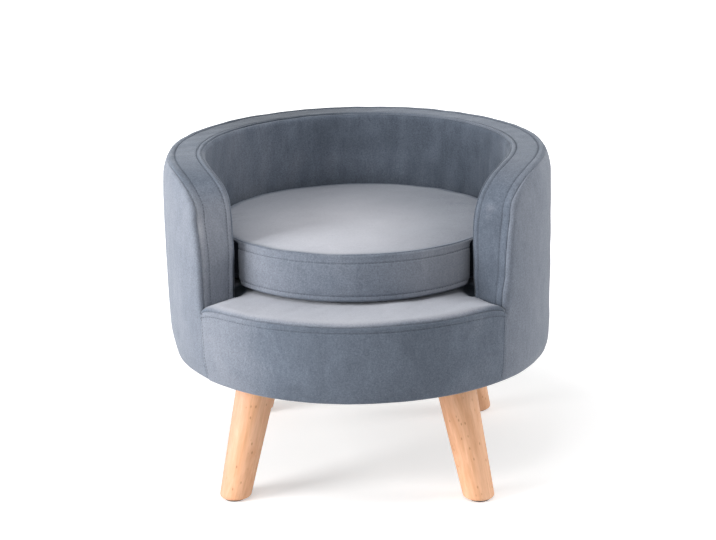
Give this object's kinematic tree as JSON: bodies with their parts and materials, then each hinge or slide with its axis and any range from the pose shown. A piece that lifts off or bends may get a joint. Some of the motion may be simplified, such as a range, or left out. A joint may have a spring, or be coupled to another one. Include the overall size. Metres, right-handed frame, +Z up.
{
  "type": "cat sofa bed",
  "caption": "Round padded tub sofa for a cat, with a horseshoe wall that drops into two arms, an open front, a loose round box cushion and splayed tapered wooden legs.",
  "frame": {"origin": "on the floor under the centre of the round tub", "axes": "+Z up, -Y towards the open front, +X to the right for someone who looks at the front"},
  "size_m": [0.48, 0.4794, 0.403],
  "materials": {
    "tub_velvet": "slate blue-grey velvet",
    "deck_velvet": "slate blue-grey velvet, nap laid flat",
    "cushion_velvet": "slate blue-grey velvet, nap laid flat",
    "foam": "cut polyurethane foam",
    "cushion_filling": "foam with fibre wadding",
    "plywood": "bare plywood",
    "fibreboard": "thin bendable fibreboard",
    "pine_battens": "sawn softwood",
    "leg_wood": "clear satin lacquer on light wood",
    "glide_plastic": "black felt-faced plastic",
    "plated_steel": "zinc plated",
    "dust_cloth": "black non-woven cloth",
    "zip_tape": "woven tape with nylon coil",
    "zip_metal": "lacquered slider"
  },
  "bodies": {
    "tub": {"outer_cover": "tub_velvet", "front_panel": "tub_velvet", "rim_strip": "tub_velvet", "inner_cover": "tub_velvet", "deck_cover": "deck_velvet", "outer_foam": "foam", "well_foam": "foam", "rim_foam": "foam", "front_foam": "foam", "seat_foam": "foam", "bottom_board": "plywood", "seat_board": "plywood", "top_rail": "plywood", "outer_shell": "fibreboard", "inner_shell": "fibreboard", "base_posts": "pine_battens", "wall_posts": "pine_battens", "arm_post_left": "pine_battens", "arm_post_right": "pine_battens", "leg_blocks": "pine_battens", "leg_front_left": "leg_wood", "leg_front_right": "leg_wood", "leg_rear_left": "leg_wood", "leg_rear_right": "leg_wood", "glide_front_left": "glide_plastic", "glide_front_right": "glide_plastic", "glide_rear_left": "glide_plastic", "glide_rear_right": "glide_plastic", "hanger_bolts": "plated_steel", "tee_nuts": "plated_steel", "base_screws_lower": "plated_steel", "base_screws_upper": "plated_steel", "post_screws": "plated_steel", "rail_screws": "plated_steel", "staples": "plated_steel", "dust_cover": "dust_cloth"},
    "cushion": {"cushion_core": "cushion_filling", "cushion_top_panel": "cushion_velvet", "cushion_band": "cushion_velvet", "cushion_bottom_panel": "cushion_velvet", "cushion_zip": "zip_tape"},
    "zip_slider": {"zip_slider": "zip_metal"}
  },
  "joints": [
    {"name": "cushion_lift", "type": "slide", "parent": "tub", "child": "cushion", "axis": [0, 0, 1], "range_m": [0, 0.25]},
    {"name": "zip_travel", "type": "hinge", "parent": "cushion", "child": "zip_slider", "pos_m": [0, 0, 0.28705], "axis": [0, 0, 1], "range_deg": [0, 104]}
  ]
}
